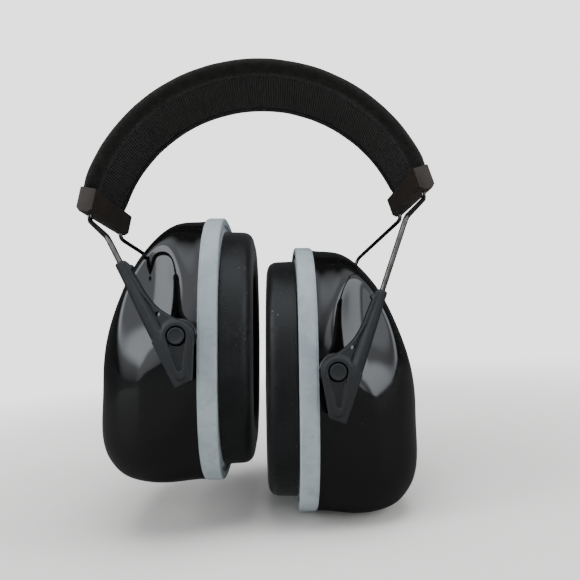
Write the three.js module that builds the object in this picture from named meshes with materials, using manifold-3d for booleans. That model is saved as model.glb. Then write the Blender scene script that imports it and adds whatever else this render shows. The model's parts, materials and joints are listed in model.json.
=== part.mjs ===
// Earmuff hearing protector: two oval cups on a padded, sprung headband.
// Millimetres, +Z up. The front is -Y, and the wearer's ears are to the left (-X) and right (+X).
// The band, its wires and its end caps are the same on both sides. The two cups hang at
// different heights, because each slides on its own pair of wire legs.

import * as THREE from 'three';
import { mergeVertices } from 'three/addons/utils/BufferGeometryUtils.js';
import Module from 'manifold-3d';

const wasm = await Module();
wasm.setup();

// Headband: angles run round the arc from its crown, and radii start at the arc's centre.
const BAND_RADIUS = 78.6;
const BAND_WIDTH = 40;
const PAD_INNER_RADIUS = 71.3;
const PAD_OUTER_RADIUS = 73.3;
const FOAM_OUTER_RADIUS = 76.2;
const COVER_INNER_RADIUS = 76.6;
const COVER_SIDE_WALL = 0.7;
const FOAM_WIDTH = 33;
const CROWN_ANGLE = 20;
const BAND_END_ANGLE = 70.3;
const ARC_STEP_ANGLE = 4;

// Spring wires.
const WIRE_RADIUS = 1;
const WIRE_ARC_RADIUS = 74.7;
const WIRE_Y = 18;
const CAP_EXIT = { x: 70.8, z: 13.3 };
const SHOULDER = { x: 71, z: 10 };
const KNEE = { x: 53, y: 47.5, z: -4.5 };
const LEG_ANGLE = 23.5;
const LEG_LENGTH = 43.5;
const BEND_TRIM = 1.5;
const BEND_DIVISIONS = 4;

// End caps, square blocks clamped on the ends of the band.
const CAP = { x: 70.6, z: 17.9, radial: 7, height: 10.5, width: 45, lean: 14, chamfer: 1.6, bevel: 0.6 };

// Slide arms. The pivot pin is the arm's origin, and the wire's tube is beside it.
const TUBE_OFFSET = 6;
const TUBE_RADIUS = 2.4;
const ARM_ABOVE_PIN = 32;
const ARM_BELOW_PIN = 17;
const BORE_DEPTH = 44;
const WEB_THICKNESS = 2.2;
const BOSS_RADIUS = 5.65;
const SLOT = { x: 1.15, z: 9.9, radius: 0.85 };

// Pivot pins.
const PIN_HEAD_RADIUS = 3;
const PIN_SHANK_RADIUS = 2;
const PIN_INNER_Y = 39.5;
const PIN_SHOULDER_Y = 45.4;
const PIN_FACE_Y = 50.1;

// Cups. X runs outboard from the pivot pin, and heights are from the middle of the seat ring.
const RING_CENTRE_BELOW_PIN = 4.5;
const RING_OUTER_X = -6;
const RING_INNER_X = -13;
const RING = { top: 55, bottom: -55, halfWidth: 44 };
const CUSHION = { top: 50, bottom: -50, halfWidth: 42 };
const CUSHION_FACE_X = -22;
const CUSHION_BAND = 18.5;
const CUSHION_SKIN = 1;
const PLATE_THICKNESS = 1.5;
const SHELL_WALL = 2.5;
const OVAL_POWER = 2.8;
const OVAL_SEGMENTS = 32;

// Shell sections at growing depth outboard of the seat ring: the deepest part is in the
// lower half, and the last section is the flat oval panel on the outer face.
const SHELL_SECTIONS = [
  { depth: 0.3, top: 53.9, bottom: -54.8, halfWidth: 43 },
  { depth: 13, top: 51, bottom: -54.3, halfWidth: 42.3 },
  { depth: 25.3, top: 39.7, bottom: -53.2, halfWidth: 39.9 },
  { depth: 33.8, top: 24.6, bottom: -50.7, halfWidth: 35.7 },
  { depth: 40.8, top: 8, bottom: -45.4, halfWidth: 28.4 },
  { depth: 44, top: -5.5, bottom: -37.6, halfWidth: 20 },
  { depth: 45, top: -10, bottom: -32, halfWidth: 14.7 },
];
const LINER_FIRST_SECTION = 3;
const LINER_INSET = 5;

// How the cups rest: each has its own length of bare wire, and both lean the same way.
const SIDES = [
  { name: 'left', sign: -1, bareWire: 10 },
  { name: 'right', sign: 1, bareWire: 28 },
];
const CUP_LEAN = 3.6;

const GAP = 0.3;
const RUNNING_GAP = 0.35;

const FINISHES = {
  fabric: { color: 0x161615, roughness: 0.95, metalness: 0 },
  foam: { color: 0x3a3a3c, roughness: 1, metalness: 0 },
  steel: { color: 0x9a9a98, roughness: 0.3, metalness: 1 },
  capPlastic: { color: 0x221e1a, roughness: 0.45, metalness: 0 },
  armPlastic: { color: 0x3c4042, roughness: 0.6, metalness: 0 },
  pinPlastic: { color: 0x35383a, roughness: 0.55, metalness: 0 },
  shellPlastic: { color: 0x0a0a0a, roughness: 0.12, metalness: 0 },
  ringPlastic: { color: 0xb2bec3, roughness: 0.4, metalness: 0 },
  platePlastic: { color: 0x2a2c2e, roughness: 0.6, metalness: 0 },
  cushionSkin: { color: 0x232526, roughness: 0.35, metalness: 0 },
};

const radians = THREE.MathUtils.degToRad;

function mesh(name, geometry, finish) {
  const part = new THREE.Mesh(geometry, new THREE.MeshStandardMaterial(FINISHES[finish]));
  part.name = name;
  return part;
}

// ---- Solids for cutting and joining ----

function toSolid(geometry) {
  const bare = new THREE.BufferGeometry();
  bare.setAttribute('position', geometry.getAttribute('position'));
  bare.setIndex(geometry.getIndex());
  const welded = mergeVertices(bare, 1e-4);
  const index = welded.getIndex().array;
  const triangles = [];
  for (let i = 0; i < index.length; i += 3) {
    const [a, b, c] = [index[i], index[i + 1], index[i + 2]];
    if (a !== b && b !== c && c !== a) triangles.push(a, b, c);
  }
  const vertProperties = welded.getAttribute('position').array;
  const triVerts = new Uint32Array(triangles);
  return new wasm.Manifold(new wasm.Mesh({ numProp: 3, vertProperties, triVerts }));
}

function toGeometry(solid) {
  const { vertProperties, triVerts } = solid.getMesh();
  const geometry = new THREE.BufferGeometry();
  geometry.setAttribute('position', new THREE.BufferAttribute(new Float32Array(vertProperties), 3));
  geometry.setIndex(new THREE.BufferAttribute(new Uint32Array(triVerts), 1));
  return geometry;
}

// A cylinder lying along Y, from one height to another.
function cylinderAlongY(radius, x, z, fromY, toY, segments = 24) {
  const geometry = new THREE.CylinderGeometry(radius, radius, toY - fromY, segments);
  return geometry.translate(x, (fromY + toY) / 2, z);
}

// ---- Headband ----

// A point on the band's arc, in the XZ plane.
function onArc(radius, degrees, y = 0) {
  const angle = radians(degrees);
  return new THREE.Vector3(radius * Math.sin(angle), y, radius * Math.cos(angle));
}

class BandArc extends THREE.Curve {
  constructor(radius, fromDegrees, toDegrees, y = 0) {
    super();
    Object.assign(this, { radius, fromDegrees, toDegrees, y });
    this.divisions = Math.ceil((toDegrees - fromDegrees) / ARC_STEP_ANGLE);
  }

  getPoint(t, target = new THREE.Vector3()) {
    return target.copy(onArc(this.radius, THREE.MathUtils.lerp(this.fromDegrees, this.toDegrees, t), this.y));
  }
}

// A flat layer of the band: a sector of the arc, as wide as given.
function bandLayer(innerRadius, outerRadius, width, fromDegrees, toDegrees) {
  const steps = Math.round((toDegrees - fromDegrees) / ARC_STEP_ANGLE) | 1;
  const sector = new THREE.Shape();
  const corner = (radius, i) => {
    const point = onArc(radius, THREE.MathUtils.lerp(fromDegrees, toDegrees, i / steps));
    return new THREE.Vector2(point.x, point.z);
  };
  const outline = [];
  for (let i = 0; i <= steps; i++) outline.push(corner(outerRadius, i));
  for (let i = steps; i >= 0; i--) outline.push(corner(innerRadius, i));
  sector.setFromPoints(outline);
  const geometry = new THREE.ExtrudeGeometry(sector, { depth: width, bevelEnabled: false });
  return geometry.rotateX(Math.PI / 2).translate(0, width / 2, 0);
}

// The woven cover: a channel, with its base outside and a wall down each edge of the band.
function bandCover(fromDegrees, toDegrees) {
  const block = bandLayer(PAD_INNER_RADIUS, BAND_RADIUS, BAND_WIDTH, fromDegrees, toDegrees);
  const width = BAND_WIDTH - 2 * COVER_SIDE_WALL;
  const hollow = bandLayer(PAD_INNER_RADIUS - 1, COVER_INNER_RADIUS, width, fromDegrees - 1, toDegrees + 1);
  return toGeometry(toSolid(block).subtract(toSolid(hollow)));
}

function bandSegment(name, fromDegrees, toDegrees) {
  const padWidth = BAND_WIDTH - 2 * (COVER_SIDE_WALL + GAP);
  const foamInner = PAD_OUTER_RADIUS + GAP;
  const cover = bandCover(fromDegrees, toDegrees);
  const pad = bandLayer(PAD_INNER_RADIUS, PAD_OUTER_RADIUS, padWidth, fromDegrees, toDegrees);
  const foam = bandLayer(foamInner, FOAM_OUTER_RADIUS, FOAM_WIDTH, fromDegrees, toDegrees);
  const segment = new THREE.Group();
  segment.add(mesh(`band_cover_${name}`, cover, 'fabric'));
  segment.add(mesh(`comfort_pad_${name}`, pad, 'fabric'));
  segment.add(mesh(`band_foam_${name}`, foam, 'foam'));
  return segment;
}

// ---- Spring wires ----

// A path along several curves, with stations only where it bends: a straight run is one length.
class WirePath extends THREE.Curve {
  constructor(curves) {
    super();
    this.stations = [];
    for (const curve of curves) {
      const divisions = curve.divisions ?? (curve.isLineCurve3 ? 1 : BEND_DIVISIONS);
      for (let i = this.stations.length ? 1 : 0; i <= divisions; i++) {
        const t = i / divisions;
        this.stations.push({ point: curve.getPoint(t), tangent: curve.getTangent(t) });
      }
    }
  }

  getPointAt(u) {
    return this.stations[Math.round(u * (this.stations.length - 1))].point.clone();
  }

  getTangentAt(u) {
    return this.stations[Math.round(u * (this.stations.length - 1))].tangent.clone();
  }
}

function rod(path, radius) {
  const circle = new THREE.Shape().absarc(0, 0, radius, 0, 2 * Math.PI);
  const steps = path.stations.length - 1;
  return new THREE.ExtrudeGeometry(circle, { extrudePath: path, steps, curveSegments: 4 });
}

// Straight runs between the points, with each inner corner rounded off.
function bentRuns(points) {
  const runs = [];
  let start = points[0];
  for (let i = 1; i < points.length - 1; i++) {
    const corner = points[i];
    const before = corner.clone().add(points[i - 1].clone().sub(corner).setLength(BEND_TRIM));
    const after = corner.clone().add(points[i + 1].clone().sub(corner).setLength(BEND_TRIM));
    runs.push(new THREE.LineCurve3(start, before), new THREE.QuadraticBezierCurve3(before, corner, after));
    start = after;
  }
  runs.push(new THREE.LineCurve3(start, points[points.length - 1]));
  return runs;
}

// The outboard side's wire: round the band, through the end cap, out to the arm's plane
// and down the straight leg that the slide arm runs on.
function sideWirePath(ySign) {
  const knee = new THREE.Vector3(KNEE.x, ySign * KNEE.y, KNEE.z);
  const legEnd = knee.clone().addScaledVector(legDirection(), LEG_LENGTH);
  const arc = new BandArc(WIRE_ARC_RADIUS, CROWN_ANGLE + gapAngle(), BAND_END_ANGLE, ySign * WIRE_Y);
  const runs = bentRuns([
    arc.getPoint(1),
    new THREE.Vector3(CAP_EXIT.x, ySign * WIRE_Y, CAP_EXIT.z),
    new THREE.Vector3(SHOULDER.x, ySign * WIRE_Y, SHOULDER.z),
    knee,
    legEnd,
  ]);
  return new WirePath([arc, ...runs]);
}

function legDirection() {
  return new THREE.Vector3(-Math.sin(radians(LEG_ANGLE)), 0, -Math.cos(radians(LEG_ANGLE)));
}

function gapAngle() {
  return THREE.MathUtils.radToDeg(GAP / BAND_RADIUS);
}

// ---- End caps ----

function endCap() {
  const { radial, height, width, chamfer, bevel } = CAP;
  const halfX = radial / 2 - bevel;
  const halfZ = height / 2 - bevel;
  const outline = new THREE.Shape();
  outline.moveTo(-halfX, halfZ);
  outline.lineTo(-halfX, -halfZ + chamfer);
  outline.lineTo(-halfX + chamfer, -halfZ);
  outline.lineTo(halfX - chamfer, -halfZ);
  outline.lineTo(halfX, -halfZ + chamfer);
  outline.lineTo(halfX, halfZ);
  const depth = width - 2 * bevel;
  const options = { depth, bevelSize: bevel, bevelThickness: bevel, bevelSegments: 2 };
  const block = new THREE.ExtrudeGeometry(outline, options);
  block.rotateX(Math.PI / 2).translate(0, depth / 2, 0);
  block.rotateY(radians(-CAP.lean)).translate(CAP.x, 0, CAP.z);
  let cap = toSolid(block);
  for (const ySign of [-1, 1]) {
    cap = cap.subtract(toSolid(rod(sideWirePath(ySign), WIRE_RADIUS + RUNNING_GAP)));
  }
  return toGeometry(cap);
}

// ---- Slide arms ----

// The web's outline in the arm's own XZ plane: narrow at the top, round about the pin,
// and tapering again to the lower end of the tube.
function armOutline() {
  const tubeX = TUBE_OFFSET;
  const outline = new THREE.Shape();
  outline.moveTo(tubeX, ARM_ABOVE_PIN - 2);
  outline.lineTo(tubeX - 2, ARM_ABOVE_PIN - 2);
  outline.lineTo(tubeX - 2.6, 20);
  outline.quadraticCurveTo(tubeX - 4, 10, -BOSS_RADIUS * Math.SQRT1_2, BOSS_RADIUS * Math.SQRT1_2);
  outline.absarc(0, 0, BOSS_RADIUS, 0.75 * Math.PI, 1.15 * Math.PI, false);
  outline.lineTo(tubeX - 3, -ARM_BELOW_PIN);
  outline.lineTo(tubeX, -ARM_BELOW_PIN);
  return outline;
}

// One arm, with its pivot at the origin and its tube upright. It lies in the XZ plane.
function slideArm() {
  const webOptions = { depth: WEB_THICKNESS, bevelEnabled: false, curveSegments: 8 };
  const web = new THREE.ExtrudeGeometry(armOutline(), webOptions);
  web.rotateX(Math.PI / 2).translate(0, WEB_THICKNESS / 2, 0);
  const boss = cylinderAlongY(BOSS_RADIUS, 0, 0, -TUBE_RADIUS, TUBE_RADIUS, 28);
  const tube = upright(TUBE_RADIUS, -ARM_BELOW_PIN, ARM_ABOVE_PIN, 20);
  const bore = upright(WIRE_RADIUS + RUNNING_GAP, ARM_ABOVE_PIN - BORE_DEPTH, ARM_ABOVE_PIN + 1, 12);
  const pinHole = cylinderAlongY(PIN_HEAD_RADIUS + RUNNING_GAP, 0, 0, -TUBE_RADIUS - 1, TUBE_RADIUS + 1);
  const slot = cylinderAlongY(SLOT.radius, SLOT.x, SLOT.z, -WEB_THICKNESS, WEB_THICKNESS, 12);
  let arm = toSolid(web).add(toSolid(boss)).add(toSolid(tube));
  for (const cut of [bore, pinHole, slot]) arm = arm.subtract(toSolid(cut));
  return toGeometry(arm);
}

// A cylinder on the tube's axis.
function upright(radius, fromZ, toZ, segments) {
  const geometry = new THREE.CylinderGeometry(radius, radius, toZ - fromZ, segments);
  return geometry.rotateX(Math.PI / 2).translate(TUBE_OFFSET, 0, (fromZ + toZ) / 2);
}

// ---- Cups ----

// The outline of an oval, moved inwards by an inset, at a place along X.
function section(x, oval, inset = 0) {
  return { x, top: oval.top - inset, bottom: oval.bottom + inset, halfWidth: oval.halfWidth - inset };
}

// A solid whose sections square to X are ovals. A ring's last section joins its first;
// a solid with open ends is closed flat at both.
function ovalSolid(sections, isRing = false) {
  const middle = (each) => ({ ...each, onAxis: true });
  const first = sections[0];
  const last = sections[sections.length - 1];
  const stations = isRing ? [...sections, first] : [middle(first), ...sections, middle(last)];
  const profile = stations.map((each) => new THREE.Vector2(each.onAxis ? 0 : each.halfWidth, each.x));
  const geometry = new THREE.LatheGeometry(profile, OVAL_SEGMENTS);
  const position = geometry.getAttribute('position');
  for (let i = 0; i <= OVAL_SEGMENTS; i++) {
    const angle = (2 * Math.PI * (i % OVAL_SEGMENTS)) / OVAL_SEGMENTS;
    stations.forEach((each, j) => {
      const scale = each.onAxis ? 0 : 1;
      const halfHeight = (each.top - each.bottom) / 2;
      const y = -scale * each.halfWidth * ovalTerm(Math.sin(angle));
      const z = (each.top + each.bottom) / 2 + scale * halfHeight * ovalTerm(Math.cos(angle));
      position.setXYZ(i * stations.length + j, each.x, y, z);
    });
  }
  return toGeometry(toSolid(geometry));
}

function ovalTerm(value) {
  return Math.sign(value) * Math.abs(value) ** (2 / OVAL_POWER);
}

function shellSection(each, inset, depthScale) {
  return section(RING_OUTER_X + each.depth * depthScale, each, inset);
}

function cupShell() {
  const outer = ovalSolid(SHELL_SECTIONS.map((each) => shellSection(each, 0, 1)));
  const depthScale = 1 - SHELL_WALL / SHELL_SECTIONS[SHELL_SECTIONS.length - 1].depth;
  const mouth = section(RING_OUTER_X - 1, SHELL_SECTIONS[0], SHELL_WALL);
  const walls = SHELL_SECTIONS.map((each) => shellSection(each, SHELL_WALL, depthScale));
  let shell = toSolid(outer).subtract(toSolid(ovalSolid([mouth, ...walls])));
  const reach = RING.halfWidth;
  const pinHoles = cylinderAlongY(PIN_SHANK_RADIUS + GAP, 0, RING_CENTRE_BELOW_PIN, -reach, reach);
  shell = shell.subtract(toSolid(pinHoles));
  return toGeometry(shell);
}

function seatRing() {
  const opening = 14;
  const bevel = 0.6;
  return ovalSolid([
    section(RING_INNER_X, RING, bevel),
    section(RING_INNER_X + bevel, RING),
    section(RING_OUTER_X - bevel, RING),
    section(RING_OUTER_X, RING, bevel),
    section(RING_OUTER_X, RING, opening),
    section(RING_INNER_X, RING, opening),
  ], true);
}

// The cushion's skin is a channel round the ear opening, open towards the seat ring.
function cushionCover() {
  const back = RING_INNER_X - GAP;
  const face = CUSHION_FACE_X;
  const round = 1.6;
  const innerFace = face + CUSHION_SKIN;
  return ovalSolid([
    section(face, CUSHION, CUSHION_BAND - round),
    section(face, CUSHION, round),
    section(face + round, CUSHION),
    section(back, CUSHION),
    section(back, CUSHION, CUSHION_SKIN),
    section(innerFace, CUSHION, CUSHION_SKIN),
    section(innerFace, CUSHION, CUSHION_BAND - CUSHION_SKIN),
    section(back, CUSHION, CUSHION_BAND - CUSHION_SKIN),
    section(back, CUSHION, CUSHION_BAND),
    section(face + round, CUSHION, CUSHION_BAND),
  ], true);
}

// A flat oval ring that fits inside the cushion's skin.
function cushionInsert(fromX, toX) {
  const edge = CUSHION_SKIN + GAP;
  return ovalSolid([
    section(fromX, CUSHION, CUSHION_BAND - edge),
    section(fromX, CUSHION, edge),
    section(toX, CUSHION, edge),
    section(toX, CUSHION, CUSHION_BAND - edge),
  ], true);
}

function linerFoam() {
  const depthScale = 1 - (2 * SHELL_WALL) / SHELL_SECTIONS[SHELL_SECTIONS.length - 1].depth;
  const walls = SHELL_SECTIONS.slice(LINER_FIRST_SECTION);
  return ovalSolid(walls.map((each) => shellSection(each, LINER_INSET, depthScale)));
}

function pivotPin(ySign) {
  const profile = [
    new THREE.Vector2(0, PIN_INNER_Y),
    new THREE.Vector2(PIN_SHANK_RADIUS, PIN_INNER_Y),
    new THREE.Vector2(PIN_SHANK_RADIUS, PIN_SHOULDER_Y),
    new THREE.Vector2(PIN_HEAD_RADIUS, PIN_SHOULDER_Y),
    new THREE.Vector2(PIN_HEAD_RADIUS, PIN_FACE_Y - 0.5),
    new THREE.Vector2(PIN_HEAD_RADIUS - 0.5, PIN_FACE_Y),
    new THREE.Vector2(0, PIN_FACE_Y),
  ];
  const pin = new THREE.LatheGeometry(profile, 16);
  return ySign > 0 ? pin : pin.rotateX(Math.PI);
}

// ---- Assembly ----

function frontOrRear(side, ySign) {
  return side.sign * ySign < 0 ? 'front' : 'rear';
}

// The pivot pins' axis on one side, in that side's own outboard frame.
function pivotPoint(side) {
  const along = legDirection();
  const inboard = new THREE.Vector3(-Math.cos(radians(LEG_ANGLE)), 0, Math.sin(radians(LEG_ANGLE)));
  const knee = new THREE.Vector3(KNEE.x, 0, KNEE.z);
  return knee.addScaledVector(along, side.bareWire + ARM_ABOVE_PIN).addScaledVector(inboard, TUBE_OFFSET);
}

function cup(side) {
  const parts = new THREE.Group();
  const plateBack = RING_INNER_X - 2 * GAP;
  const plateFront = plateBack - PLATE_THICKNESS;
  const foamFace = CUSHION_FACE_X + CUSHION_SKIN + GAP;
  parts.add(mesh(`${side.name}_cup_shell`, cupShell(), 'shellPlastic'));
  parts.add(mesh(`${side.name}_seat_ring`, seatRing(), 'ringPlastic'));
  parts.add(mesh(`${side.name}_cushion_plate`, cushionInsert(plateFront, plateBack), 'platePlastic'));
  parts.add(mesh(`${side.name}_cushion_foam`, cushionInsert(foamFace, plateFront - GAP), 'foam'));
  parts.add(mesh(`${side.name}_cushion_cover`, cushionCover(), 'cushionSkin'));
  parts.add(mesh(`${side.name}_liner_foam`, linerFoam(), 'foam'));
  parts.position.z = -RING_CENTRE_BELOW_PIN;
  const tilted = new THREE.Group();
  tilted.add(parts);
  for (const ySign of [-1, 1]) {
    tilted.add(mesh(`${side.name}_pivot_pin_${frontOrRear(side, ySign)}`, pivotPin(ySign), 'pinPlastic'));
  }
  tilted.position.copy(pivotPoint(side));
  tilted.rotation.y = radians(CUP_LEAN) * side.sign;
  return tilted;
}

function arm(side, ySign) {
  const part = mesh(`${side.name}_slide_arm_${frontOrRear(side, ySign)}`, slideArm(), 'armPlastic');
  part.position.copy(pivotPoint(side)).setY(ySign * KNEE.y);
  part.rotation.y = radians(LEG_ANGLE);
  return part;
}

// Everything on one side, drawn with its outboard direction along +X. The left side is the
// same thing turned half round, because each side is alike from the front and the back.
function oneSide(side) {
  const parts = new THREE.Group();
  parts.add(bandSegment(side.name, CROWN_ANGLE + gapAngle(), BAND_END_ANGLE));
  parts.add(mesh(`${side.name}_end_cap`, endCap(), 'capPlastic'));
  for (const ySign of [-1, 1]) {
    const wire = rod(sideWirePath(ySign), WIRE_RADIUS);
    parts.add(mesh(`spring_wire_${frontOrRear(side, ySign)}_${side.name}`, wire, 'steel'));
    parts.add(arm(side, ySign));
  }
  parts.add(cup(side));
  if (side.sign < 0) parts.rotation.z = Math.PI;
  return parts;
}

function crown() {
  const parts = bandSegment('crown', -CROWN_ANGLE, CROWN_ANGLE);
  for (const [name, y] of [['front', -WIRE_Y], ['rear', WIRE_Y]]) {
    const arc = new BandArc(WIRE_ARC_RADIUS, -CROWN_ANGLE, CROWN_ANGLE, y);
    parts.add(mesh(`spring_wire_${name}_crown`, rod(new WirePath([arc]), WIRE_RADIUS), 'steel'));
  }
  return parts;
}

const group = new THREE.Group();
group.add(crown());
for (const side of SIDES) group.add(oneSide(side));

// The origin is the middle of the object's underside.
const extent = new THREE.Box3().setFromObject(group, true);
const centre = extent.getCenter(new THREE.Vector3());
group.position.set(-centre.x, -centre.y, -extent.min.z);

export default group;
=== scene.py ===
"""Earmuff hearing protector: the visible model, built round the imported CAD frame.

Sizes are in millimetres in the pieces' own frames, and each piece's matrix turns them into
metres in the row frame. Each side is drawn with its outboard direction along +X, and the left
side is the same thing turned half round, because the sides are alike from front and back.
"""

import json
import math

import bmesh
import bpy
import numpy as np
from mathutils import Matrix, Vector, noise


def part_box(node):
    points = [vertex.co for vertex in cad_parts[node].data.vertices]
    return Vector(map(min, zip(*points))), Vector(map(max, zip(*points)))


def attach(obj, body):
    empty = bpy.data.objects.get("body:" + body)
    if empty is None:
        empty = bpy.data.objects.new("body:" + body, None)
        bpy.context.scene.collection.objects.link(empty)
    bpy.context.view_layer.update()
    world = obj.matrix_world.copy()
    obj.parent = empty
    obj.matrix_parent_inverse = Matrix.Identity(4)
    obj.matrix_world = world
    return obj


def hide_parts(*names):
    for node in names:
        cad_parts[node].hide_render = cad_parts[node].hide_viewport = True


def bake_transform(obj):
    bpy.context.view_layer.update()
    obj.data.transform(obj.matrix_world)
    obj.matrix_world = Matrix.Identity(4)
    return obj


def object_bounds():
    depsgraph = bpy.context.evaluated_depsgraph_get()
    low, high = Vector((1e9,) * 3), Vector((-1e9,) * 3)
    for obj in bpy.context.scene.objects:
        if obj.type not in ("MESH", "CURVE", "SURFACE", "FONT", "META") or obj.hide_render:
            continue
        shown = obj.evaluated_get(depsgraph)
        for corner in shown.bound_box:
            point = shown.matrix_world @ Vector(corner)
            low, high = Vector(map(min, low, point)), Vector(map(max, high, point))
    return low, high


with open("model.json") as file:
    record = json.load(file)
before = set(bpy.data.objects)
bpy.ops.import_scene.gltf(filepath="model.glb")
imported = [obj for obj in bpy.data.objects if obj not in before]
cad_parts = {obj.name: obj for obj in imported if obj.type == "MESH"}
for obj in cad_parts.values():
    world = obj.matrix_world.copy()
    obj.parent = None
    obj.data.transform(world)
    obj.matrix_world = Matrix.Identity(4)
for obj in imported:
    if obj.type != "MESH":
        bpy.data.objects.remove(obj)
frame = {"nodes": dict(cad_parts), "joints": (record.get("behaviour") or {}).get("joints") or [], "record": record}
cad_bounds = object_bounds()

MM = 0.001
WELD_DISTANCE = 1e-7
RUBBED_RADIUS = 0.45
JOINTS = {joint["name"]: joint for joint in frame["joints"]}
MOUNTS = {mount["name"]: mount for mount in frame["record"]["mounts"]}

# Headband. Angles run round the arc from the crown, and radii start at the arc's centre.
HINGE_ANGLE = math.radians(20)
BAND_END_ANGLE = math.radians(71.5)
COVER_OUTER = 78.6
COVER_RECESS = 72.6
COVER_CROWN = 1.0
COVER_CLOTH = 0.7
SIDE_BULGE = ((16.4, 74.9), (3.6, 3.2))
GRIP_ANGLE = math.radians(4)
GRIP_SQUEEZE = 0.15
WELT_Y = 15.2
WELT_RADIUS = 0.62
WELT_ARC_RADIUS = 72.1
WELT_TWIST = 3.4
PAD_RADIUS = 71.6
PAD_HALF_WIDTH = 14.6
PAD_CROWN = 0.55
RIB_PITCH = 1.1
RIB_HEIGHT = 0.32

# Spring wires.
WIRE_RADIUS = 1.0
WIRE_ARC_RADIUS = 74.7
WIRE_Y = 18.0
WIRE_EXIT = (70.8, 13.3)
WIRE_SHOULDER = (71.0, 10.0)
WIRE_KNEE = (53.0, -4.5)
LEG_LENGTH = 43.5
LEG_ENTRY_ANGLE = math.radians(70)
WIRE_TRIMS = (0.9, 2.2, 3.0)

# End caps.
CAP_CENTRE = (70.6, 17.9)
CAP_RADIAL = 6.6
CAP_HEIGHT = 10.5
CAP_WIDTH = 45.0
CAP_LEAN = math.radians(14)
CAP_CHAMFER = 1.6

# Slide arms, with the pivot pin at the origin and the wire's tube upright beside it.
TUBE_X = 6.0
TUBE_TOP_RADIUS = 2.0
TUBE_RADIUS = 2.35
ARM_TOP = 32.0
ARM_BOTTOM = -15.8
BOSS_RADIUS = 5.65
PIN_RADIUS = 3.0
PIN_CLEARANCE = 0.45
PIN_FACE_Y = 50.0
ARM_INNER_EDGE = [(3.7, 31), (3.3, 24), (2.9, 18), (1.7, 12.5), (-0.9, 7.6), (-4, 3.6)]
ARM_EYE = (2.2, 9.6, 0.8)
ARM_GROOVE_X = 3.0
WEB_HALF = 1.1
EDGE_RIB_HALF = 1.8
PLATE_HALF = 2.1
RIM_HALF = 2.5
RECESS_FLOOR = 1.2
NUB_HALF = 1.3
CUT_REACH = 6
BORE_DEPTH = 44
BORE_RADIUS = 1.3
ARM_VOXEL = 0.2

# Cups, in the frame of their pivot pins. X runs outboard.
RING_CENTRE_Z = -4.5
RING_OUTER_X = -6.0
RING_INNER_X = -13.0
RING_OVAL = (55.0, 44.0)
RING_OPENING = 14.0
CUSHION_OVAL = (50.0, 42.0)
CUSHION_BAND = 18.5
CUSHION_FACE_X = -26.6
CUSHION_SWELL = 1.2
CLOTH_PRESSURE = 4.0
CLOTH_STIFFNESS = 15
CLOTH_BENDING_STIFFNESS = 0.5
CLOTH_FRAMES = 20
OVAL_POWER = 2.8
SHELL_WALL = 2.3

# The shell's outline at growing depth outboard of the seat ring, from the ring's centre:
# along the top, along the bottom and halfway down the side. All three end at its outer face.
SHELL_TOP = [(0, 54), (13, 51), (25, 39.7), (33.4, 24.6), (39.8, 8), (43, -8.5), (43.5, -20)]
SHELL_BOTTOM = [(0, -54.8), (15, -54.3), (28, -52.4), (35.5, -48), (40.4, -41.5), (42.6, -32), (43.5, -20)]
SHELL_SIDE = [(0, 42.9), (12.5, 42.4), (24, 39.2), (32.2, 34), (38.8, 26), (42.3, 15.5), (43.5, 0)]
SHELL_SQUARE_POWER = 3.7
SHELL_SQUARING_DEPTH = 18
SHELL_GAP = 0.05
FACET_Y = 42.6
FACET_SLOPE = 0.115
FACET_DEPTH = 21.5
FACET_FADE_DEPTH = 19
ARCH_SPRING_Z = -13.0
ARCH_HEIGHT = 19.0
FACET_FALL = 0.5
FACET_FALL_LIMIT = 6.0
CREASE_RADIUS = 1.0
PIVOT_PAD_RADIUS = 6.2
PIVOT_PAD_Y = 44.3
LINER_FACE_DEPTH = 25.0
LINER_GAP = 0.8
LINER_DOME = 2.2
LINER_LUMPS = 1.1
LINER_LUMP_SIZE = 6.5


# ---------------------------------------------------------------- places in the row frame


def turned(sign):
    """The half turn that makes the left side from the right side's shapes."""
    return Matrix.Rotation(0 if sign > 0 else math.pi, 4, "Z")


def arc_centre():
    """The centre of the headband's arc, from the two flex hinges on its outer surface."""
    left = Vector(JOINTS["left_band_flex"]["pos_m"])
    right = Vector(JOINTS["right_band_flex"]["pos_m"])
    middle = (left + right) / 2
    drop = (right - left).length / 2 / math.tan(HINGE_ANGLE)
    return middle - Vector((0, 0, drop))


class Side:
    def __init__(self, name, sign):
        self.name = name
        self.sign = sign
        self.pivot = Vector(JOINTS[f"{name}_cup_tilt"]["pos_m"])
        slide = JOINTS[f"{name}_front_slide"]["axis"]
        self.leg_angle = math.atan2(abs(slide[0]), -slide[2])
        outward = MOUNTS[f"{name}_outer_panel"]["axis"]
        self.lean = math.atan2(-outward[2] * sign, outward[0] * sign)

    def end(self, y_sign):
        """Which end of the earmuff a shape on this side of its own XZ plane is at."""
        return "front" if y_sign * self.sign < 0 else "rear"

    def band_matrix(self):
        return Matrix.Translation(arc_centre()) @ turned(self.sign) @ Matrix.Scale(MM, 4)

    def cup_matrix(self):
        lean = Matrix.Rotation(self.lean, 4, "Y")
        return Matrix.Translation(self.pivot) @ lean @ turned(self.sign) @ Matrix.Scale(MM, 4)

    def arm_matrix(self, end):
        low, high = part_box(f"{self.name}_slide_arm_{end}")
        place = Vector((self.pivot.x, (low.y + high.y) / 2, self.pivot.z))
        lean = Matrix.Rotation(self.leg_angle, 4, "Y")
        return Matrix.Translation(place) @ turned(self.sign) @ lean @ Matrix.Scale(MM, 4)


SIDES = [Side("left", -1), Side("right", 1)]


# ---------------------------------------------------------------- mesh building


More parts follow.
